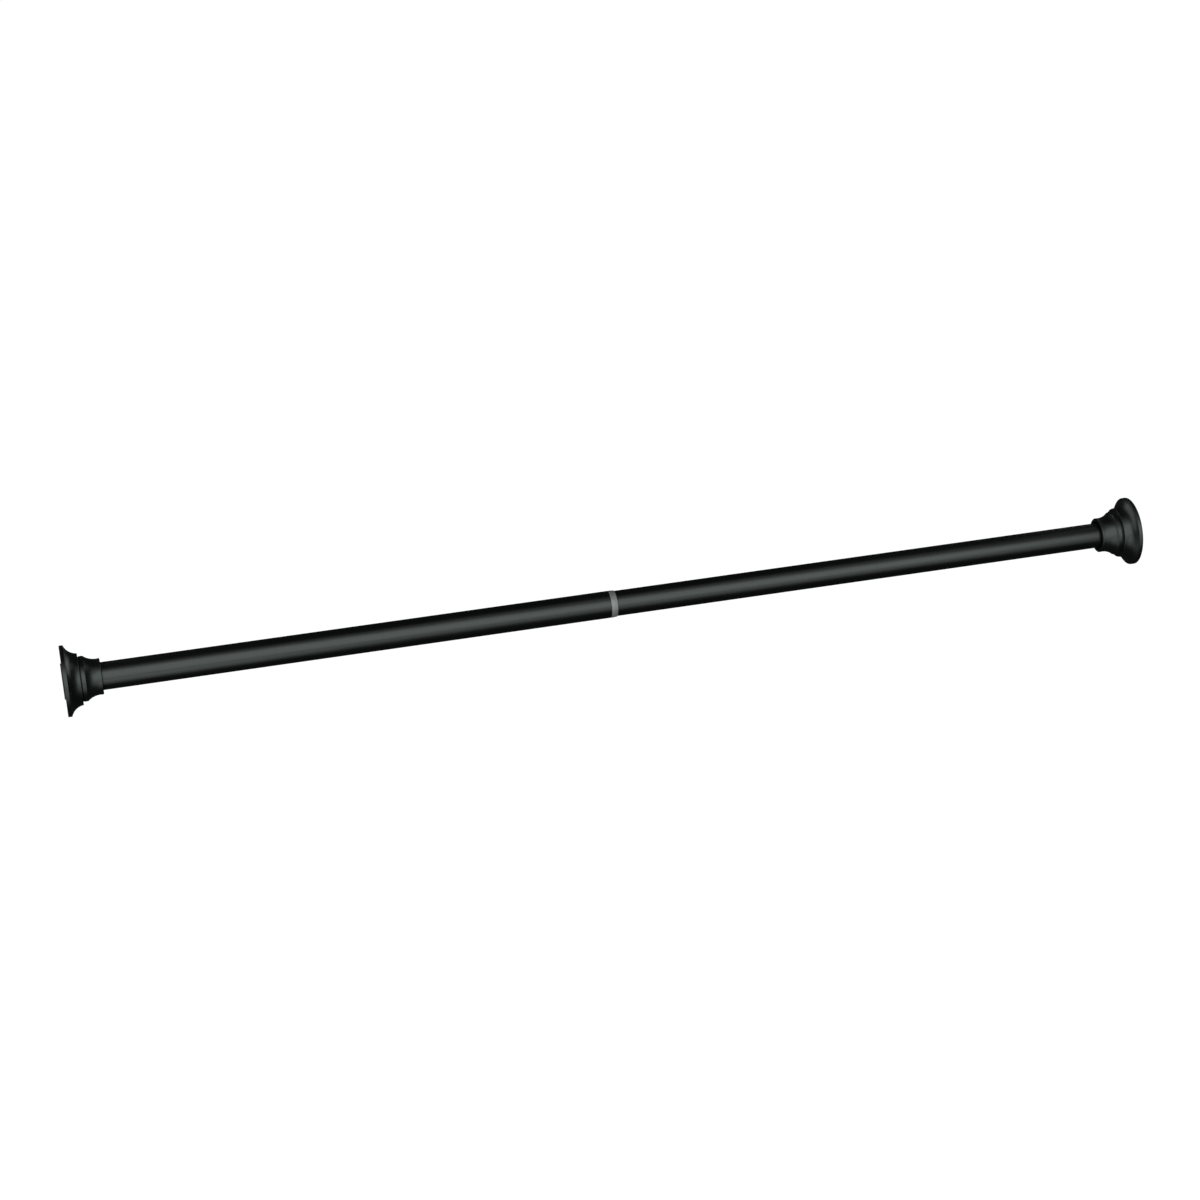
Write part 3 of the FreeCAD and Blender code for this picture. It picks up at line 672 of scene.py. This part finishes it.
def ribs_tree():
    """Repeats a rib round the rod's axis and joins the copies to the cover's shell."""
    kinds = {
        "Shell": "NodeSocketObject",
        "Rib": "NodeSocketObject",
        "Count": "NodeSocketInt",
        "Start": "NodeSocketFloat",
        "Facing": "NodeSocketFloat",
        "Material": "NodeSocketMaterial",
    }
    tree = Tree("cover_ribs", kinds)
    spots = tree.node("GeometryNodePoints", inputs={"Count": tree["Count"]})
    turn = tree.node("GeometryNodeInputIndex") / tree["Count"] * math.tau
    around = tree.node("ShaderNodeCombineXYZ", inputs={"X": turn})
    mirror = tree.node("ShaderNodeCombineXYZ", inputs={"X": tree["Facing"], "Y": 1.0, "Z": 1.0})
    start = tree.node("ShaderNodeCombineXYZ", inputs={"X": tree["Start"]})
    rib = tree.node("GeometryNodeObjectInfo", inputs={"Object": tree["Rib"]}, output="Geometry")
    sockets = {"Points": spots, "Instance": rib, "Rotation": around, "Scale": mirror}
    copies = tree.node("GeometryNodeInstanceOnPoints", inputs=sockets)
    sockets = {"Instances": copies, "Translation": start, "Local Space": False}
    ribs = tree.node("GeometryNodeTranslateInstances", inputs=sockets)
    shell = tree.node("GeometryNodeObjectInfo", inputs={"Object": tree["Shell"]}, output="Geometry")
    tree.finish(tree.node("GeometryNodeJoinGeometry", inputs={"Geometry": [shell, ribs]}))
    return tree


def make_cover(name, node, body, facing, tree, rib):
    """A hollow moulded cover, its cavity stiffened by ribs."""
    low, high = ends(node)
    start = low if facing > 0 else high
    section = cover_section((high - low) / MM, radius_of(node))
    shell = turned(f"{name}_shell", section, COVER_SEGMENTS, start, facing)
    values = {
        "Shell": shell,
        "Rib": rib,
        "Count": RIB_COUNT,
        "Start": start,
        "Facing": float(facing),
        "Material": FINISHES["cover_plastic"],
    }
    cover = tree.grow(name, values)
    bpy.data.objects.remove(shell)
    loose = bmesh.new()
    loose.from_mesh(cover.data)
    bmesh.ops.recalc_face_normals(loose, faces=loose.faces)
    loose.to_mesh(cover.data)
    loose.free()
    shade(cover.data)
    dress(cover, body, "cover_plastic", node)


# Spring and thread


def winding_tree():
    """A helix of wire or thread along the rod's axis, its end turns closed up."""
    kinds = {
        "Start": "NodeSocketFloat",
        "Length": "NodeSocketFloat",
        "Turns": "NodeSocketFloat",
        "Radius": "NodeSocketFloat",
        "Wire": "NodeSocketFloat",
        "Closed": "NodeSocketFloat",
        "Sides": "NodeSocketInt",
        "Steps": "NodeSocketInt",
        "Material": "NodeSocketMaterial",
    }
    tree = Tree("winding", kinds)
    line = tree.node("GeometryNodeCurvePrimitiveLine")
    sockets = {"Curve": line, "Count": tree["Turns"] * tree["Steps"]}
    fine = tree.node("GeometryNodeResampleCurve", inputs=sockets)
    share = tree.node("GeometryNodeSplineParameter", output="Factor")
    turn = share * tree["Turns"] * math.tau
    eased = share - tree["Closed"] * (share * math.tau).sine() / math.tau
    along = tree["Start"] + tree["Wire"] + eased * (tree["Length"] - tree["Wire"] * 2)
    side = tree["Radius"] * turn.cosine()
    up = tree["Radius"] * turn.sine()
    place = tree.node("ShaderNodeCombineXYZ", inputs={"X": along, "Y": side, "Z": up})
    helix = tree.node("GeometryNodeSetPosition", inputs={"Geometry": fine, "Position": place})
    sockets = {"Resolution": tree["Sides"], "Radius": tree["Wire"]}
    ring = tree.node("GeometryNodeCurvePrimitiveCircle", inputs=sockets)
    sockets = {"Curve": helix, "Profile Curve": ring, "Fill Caps": True}
    tree.finish(tree.node("GeometryNodeCurveToMesh", inputs=sockets))
    return tree


def travel(name):
    """How far a sliding joint moves from rest, in metres."""
    joint = next(joint for joint in frame["joints"] if joint["name"] == name)
    return max(abs(limit) for limit in joint["range_m"])


def make_spring(tree):
    """The compression spring, built at its rest length; the real one closes up as the rod is pressed in, which
    this piece does not.
    """
    start, end = ends("tension_spring")
    length = end - start
    kept = 1 - travel("press_in") / length
    values = {
        "Start": start,
        "Length": length,
        "Turns": length / MM / SPRING_PITCH,
        "Radius": SPRING_COIL * MM,
        "Wire": SPRING_WIRE * MM,
        "Closed": SPRING_CLOSED,
        "Sides": SPRING_SIDES,
        "Steps": TURN_STEPS,
        "Material": FINISHES["spring_steel"],
    }
    spring = tree.grow("tension_spring_wire", values)
    shade(spring.data)
    dress(spring, "spindle", "spring_steel", "tension_spring")
    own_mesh(spring)


def make_thread(tree):
    """The bare end of the spindle's thread, past the nut."""
    _, nut_end = ends("stop_nut")
    values = {
        "Start": nut_end,
        "Length": THREAD_LENGTH * MM,
        "Turns": THREAD_LENGTH / THREAD_PITCH,
        "Radius": THREAD_RADIUS * MM,
        "Wire": THREAD_HEIGHT * MM,
        "Closed": 0.0,
        "Sides": THREAD_SIDES,
        "Steps": TURN_STEPS,
        "Material": FINISHES["plated_steel"],
    }
    thread = tree.grow("spindle_thread", values)
    shade(thread.data)
    dress(thread, "spindle", "plated_steel")


# The finish of each material slot, and the pieces
FINISHES = {
    "coated_steel": coated_steel(),
    "cover_plastic": cover_plastic(),
    "grey_plastic": grey_plastic(),
    "foot_rubber": black_rubber("foot_rubber_skin", 0.014),
    "grip_rubber": black_rubber("grip_rubber_skin", 0.010),
    "white_nylon": nylon("natural_nylon", (0.66, 0.65, 0.60), (0.76, 0.75, 0.71)),
    "cam_nylon": nylon("yellowed_nylon", (0.56, 0.53, 0.46), (0.66, 0.64, 0.57)),
    "plated_steel": plated_steel(),
    "spring_steel": spring_steel(),
}

make_outer_tube()
make_inner_tube()
make_mouth_ring()
make_foot("left_foot_rubber", "left_foot", "outer_section", "outer_tube", 1)
make_foot("right_foot_rubber", "right_foot", "inner_section", "inner_tube", -1)
ribs = ribs_tree()
rib = rib_mesh(radius_of("left_cap"))
make_cover("left_cover_moulding", "left_cap", "left_cover", 1, ribs, rib)
make_cover("right_cover_moulding", "right_cap", "right_cover", -1, ribs, rib)
bpy.data.objects.remove(rib)
winding = winding_tree()
make_spring(winding)
make_thread(winding)

# The inner pieces keep their CAD shapes and get their finishes
SLOTS = {part["node"]: part["material_slot"] for part in frame["record"]["subparts"]}
for node, piece in frame["nodes"].items():
    piece.data.materials.clear()
    piece.data.materials.append(FINISHES[SLOTS[node]])


# Studio

# The rod hangs between walls, so the floor lies well under it, in metres
FLOOR_DROP = 2.0
FLOOR_SIZE = 30.0
FLOOR_COLOUR = (0.80, 0.80, 0.80, 1.0)
WHITE = (1.0, 1.0, 1.0, 1.0)

# Share of the floor's own lit paint in what the camera sees and in what the floor sends back up,
# and the glow that fills the view of it up to white
PAINT_SHARE = 0.12
BOUNCE_SHARE = 0.15
FLOOR_GLOW = 1.12

# How strongly gloss mirrors the white surroundings, and how strongly they light the rod:
# the photograph's black finish shows almost none of either
MIRRORED_WHITE = 0.02
AMBIENT = 0.06

# Softboxes: degrees to the right of the front and above the level, then distance, width and height
# in metres, and radiance
SOFTBOXES = {
    "core_softbox": (-10, 38, 9.0, 16.8, 8.2, 1.30),
    "key_softbox": (-9, 32, 9.0, 18.4, 15.4, 1.08),
    "right_softbox": (33, 18, 9.0, 2.6, 7.6, 0.45),
    "low_softbox": (0, -13, 5.0, 8.4, 2.3, 0.55),
    "low_left_softbox": (-27, -17, 3.2, 2.9, 2.2, 0.85),
    "side_softbox": (-75, -34, 2.4, 2.4, 1.3, 0.60),
    "overhead_softbox": (8, 76, 4.5, 6.0, 2.6, 0.50),
    "rear_left_softbox": (-116, 21, 4.0, 6.4, 2.8, 1.35),
    "rear_right_softbox": (124, -1, 3.0, 1.95, 1.5, 1.30),
    "far_right_softbox": (113, 30, 4.0, 1.3, 2.6, 0.60),
    "rear_low_softbox": (128, -24, 4.0, 1.8, 1.6, 0.40),
}
AIM = Vector((0.5, 0.0, 0.0))


def ray_kinds(finish):
    """Tells apart the rays that see the surroundings white, those of gloss, and the other bounces."""
    camera = finish.node("ShaderNodeLightPath", output="Is Camera Ray")
    through = finish.node("ShaderNodeLightPath", output="Is Transmission Ray")
    glossy = finish.node("ShaderNodeLightPath", output="Is Glossy Ray")
    white = camera + through
    return white, glossy, 1 - white - glossy


def make_world():
    world = bpy.data.worlds.new("white_surroundings")
    bpy.context.scene.world = world
    sky = Finish(world)
    white, glossy, bounced = ray_kinds(sky)
    strength = white + glossy * MIRRORED_WHITE + bounced * AMBIENT
    light = sky.node("ShaderNodeBackground", inputs={"Color": WHITE, "Strength": strength})
    sky.node("ShaderNodeOutputWorld", inputs={"Surface": light})


def make_floor():
    low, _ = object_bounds()
    mesh = bmesh.new()
    bmesh.ops.create_grid(mesh, x_segments=1, y_segments=1, size=FLOOR_SIZE / 2)
    mesh.transform(Matrix.Translation((AIM.x, 0, low.z - FLOOR_DROP)))
    floor = finished_mesh("pale_floor", mesh)
    pale = new_finish("pale_floor_paint")
    paint = pale.node("ShaderNodeBsdfDiffuse", inputs={"Color": FLOOR_COLOUR})
    white, glossy, bounced = ray_kinds(pale)
    strength = white * FLOOR_GLOW + glossy * MIRRORED_WHITE + bounced * AMBIENT
    glow = pale.node("ShaderNodeEmission", inputs={"Color": WHITE, "Strength": strength})
    share = 1 - white * PAINT_SHARE - bounced * BOUNCE_SHARE
    both = pale.node("ShaderNodeMixShader", inputs={0: share, 1: paint, 2: glow})
    pale.node("ShaderNodeOutputMaterial", inputs={"Surface": both})
    floor.data.materials.append(pale.holder)


def make_softboxes():
    for name, (turn, rise, distance, width, height, radiance) in SOFTBOXES.items():
        lamp = bpy.data.lights.new(name, "AREA")
        lamp.shape = "RECTANGLE"
        lamp.size = width
        lamp.size_y = height
        lamp.energy = radiance * math.pi * width * height
        turn, rise = math.radians(turn), math.radians(rise)
        level = distance * math.cos(rise)
        reach = Vector((level * math.sin(turn), -level * math.cos(turn), distance * math.sin(rise)))
        holder = bpy.data.objects.new(name, lamp)
        holder.location = AIM + reach
        holder.rotation_euler = (-reach).to_track_quat("-Z", "Y").to_euler()
        holder.visible_camera = False
        bpy.context.scene.collection.objects.link(holder)


def make_camera():
    data = bpy.data.cameras.new("photo_view")
    data.sensor_width = CAMERA_SENSOR
    data.lens = CAMERA_LENS
    camera = bpy.data.objects.new("photo_view", data)
    camera.location = CAMERA_PLACE
    camera.rotation_euler = (math.radians(90 - CAMERA_ELEVATION), 0, math.radians(-CAMERA_AZIMUTH))
    bpy.context.scene.collection.objects.link(camera)
    bpy.context.scene.camera = camera


make_world()
make_floor()
make_softboxes()
make_camera()
bpy.context.scene.view_settings.view_transform = "Standard"
